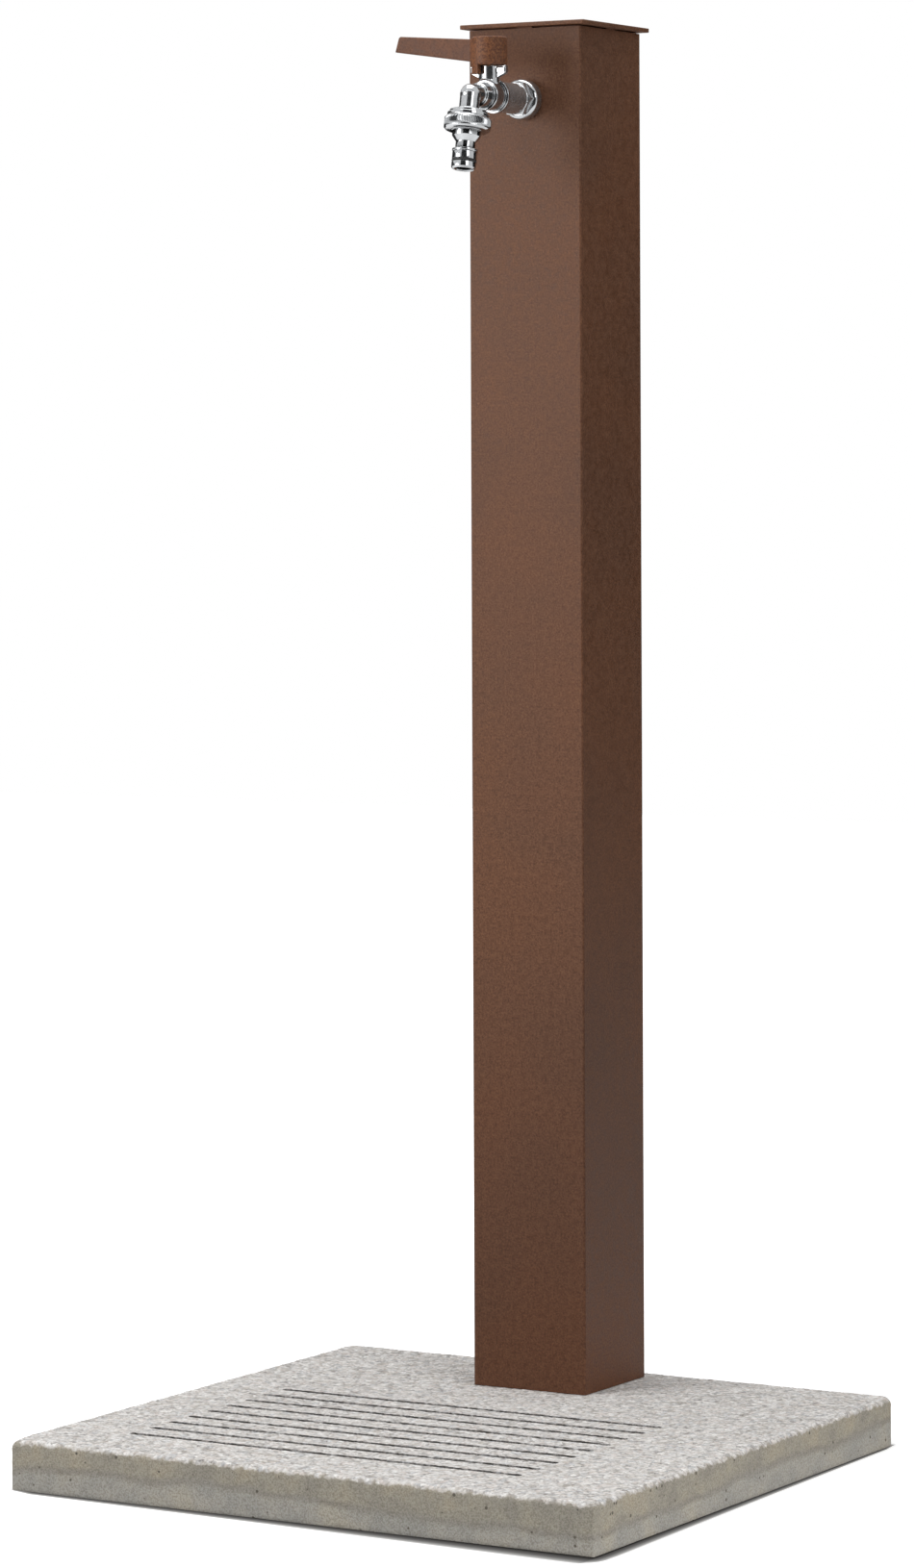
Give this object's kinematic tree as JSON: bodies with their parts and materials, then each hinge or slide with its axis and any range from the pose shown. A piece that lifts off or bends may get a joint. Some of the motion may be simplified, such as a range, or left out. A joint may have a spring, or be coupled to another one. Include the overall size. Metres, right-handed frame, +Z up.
{
  "type": "garden tap fountain",
  "caption": "Free-standing square steel column with a quarter-turn lever tap and hose plug, on a square slab with drain slots.",
  "frame": {"origin": "middle of the slab's underside, on the ground", "axes": "+Z up along the column, -Y to the side where the tap's spout points, +X to the right seen from there"},
  "size_m": [0.445, 0.445, 1],
  "materials": {
    "slab": "cast aggregate with a washed gravel top face",
    "column_paint": "fine textured powder coat in rust brown",
    "lever_paint": "fine textured powder coat in rust brown",
    "chrome": "bright plated brass",
    "brass": "turned",
    "copper": "drawn copper tube",
    "zinc": "zinc plated",
    "stainless": "fine turned",
    "ptfe": "white, smooth",
    "rubber": "black, matt",
    "fibre": "pressed red fibre"
  },
  "bodies": {
    "fountain": {"base_slab": "slab", "foot_plate": "column_paint", "foot_weld_nuts": "zinc", "slab_bolts": "zinc", "slab_bolt_washers": "zinc", "column_tube": "column_paint", "cap_plate": "column_paint", "cap_collar": "column_paint", "cap_screws": "stainless", "inlet_elbow": "brass", "inlet_seal": "rubber", "inlet_lock_nut": "brass", "riser_pipe": "copper", "lower_compression_nut": "brass", "lower_olive": "copper", "upper_compression_nut": "brass", "upper_olive": "copper", "outlet_elbow": "brass", "outlet_seal": "fibre", "wall_rosette": "chrome", "tap_tail": "chrome", "tap_body": "chrome", "front_seat": "ptfe", "rear_seat": "ptfe"},
    "tap_lever": {"lever_handle": "lever_paint", "lever_screw": "stainless", "valve_stem": "brass", "stem_orings": "rubber", "valve_ball": "chrome"},
    "adapter_travel": {"adapter_seal": "rubber"},
    "adapter_spin": {"hose_adapter": "chrome", "nozzle_oring": "rubber"}
  },
  "joints": [
    {"name": "lever_turn", "type": "hinge", "parent": "fountain", "child": "tap_lever", "pos_m": [-0.012, 0.0666, 0.97], "axis": [0, 0, 1], "range_deg": [0, 90]},
    {"name": "adapter_unscrew", "type": "slide", "parent": "fountain", "child": "adapter_travel", "axis": [0, -0.1908, -0.9816], "range_m": [0, 0.00545]},
    {"name": "adapter_rotation", "type": "hinge", "parent": "adapter_travel", "child": "adapter_spin", "pos_m": [-0.012, 0.03578, 0.92587], "axis": [0, -0.1908, -0.9816], "range_deg": [0, 1080]}
  ],
  "couplings": [
    {"joint": "adapter_unscrew", "follows": "adapter_rotation", "m_per_rad": 0.00028871}
  ]
}
